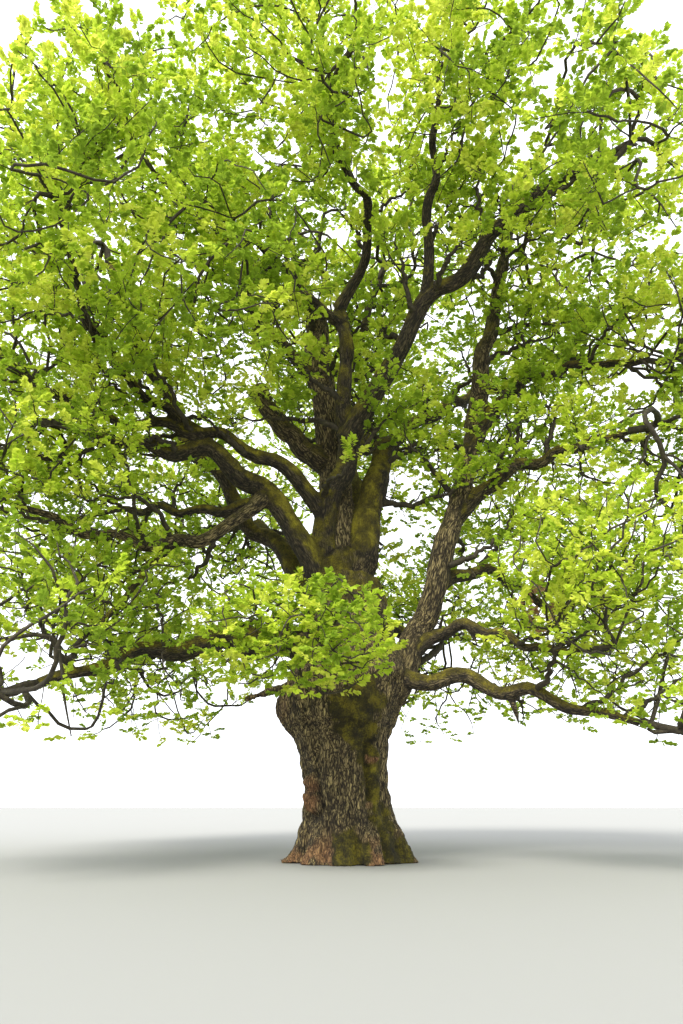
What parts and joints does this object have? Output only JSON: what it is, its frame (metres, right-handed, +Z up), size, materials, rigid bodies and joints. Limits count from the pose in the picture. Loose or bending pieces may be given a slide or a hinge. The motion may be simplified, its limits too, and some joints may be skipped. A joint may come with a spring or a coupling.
{
  "type": "oak tree",
  "caption": "Veteran oak tree with a stout flared trunk, forked stems, spreading boughs and a broad domed crown of young spring leaves.",
  "frame": {"origin": "middle of the flat cut under the trunk, at ground level", "axes": "+Z up the trunk, +X to the right and +Y away from the viewer of the picture"},
  "size_m": [29.4618, 27.1639, 27.8692],
  "materials": {
    "bark": "rough ridged bark with moss",
    "foliage": "soft young leaf"
  },
  "bodies": {
    "root": {"back_left_bough": "bark", "back_left_foliage": "foliage", "back_low_bough": "bark", "back_low_foliage": "foliage", "back_middle_bough": "bark", "back_middle_foliage": "foliage", "back_right_bough": "bark", "back_right_foliage": "foliage", "back_side_bough": "bark", "back_side_foliage": "foliage", "broken_stub": "bark", "centre_left_bough": "bark", "centre_left_foliage": "foliage", "centre_right_bough": "bark", "centre_right_foliage": "foliage", "centre_stem": "bark", "crown_leader": "bark", "crown_leader_foliage": "foliage", "descending_bough": "bark", "descending_foliage": "foliage", "front_bough": "bark", "front_foliage": "foliage", "front_left_bough": "bark", "front_left_foliage": "foliage", "grey_bough": "bark", "grey_foliage": "foliage", "left_back_bough": "bark", "left_back_foliage": "foliage", "left_high_bough": "bark", "left_high_foliage": "foliage", "left_leader": "bark", "left_leader_foliage": "foliage", "left_middle_bough": "bark", "left_middle_foliage": "foliage", "left_upper_bough": "bark", "left_upper_foliage": "foliage", "level_bough": "bark", "level_foliage": "foliage", "low_left_bough": "bark", "low_left_foliage": "foliage", "middle_stem": "bark", "mossy_stem": "bark", "right_arm_bough": "bark", "right_arm_foliage": "foliage", "right_droop_back": "bark", "right_droop_back_foliage": "foliage", "right_droop_front": "bark", "right_droop_front_foliage": "foliage", "right_high_bough": "bark", "right_high_foliage": "foliage", "right_low_bough": "bark", "right_low_foliage": "foliage", "right_mid_bough": "bark", "right_mid_foliage": "foliage", "right_stem": "bark", "trunk": "bark", "upper_mid_bough": "bark", "upper_mid_foliage": "foliage", "upper_right_bough": "bark", "upper_right_foliage": "foliage"}
  },
  "joints": []
}
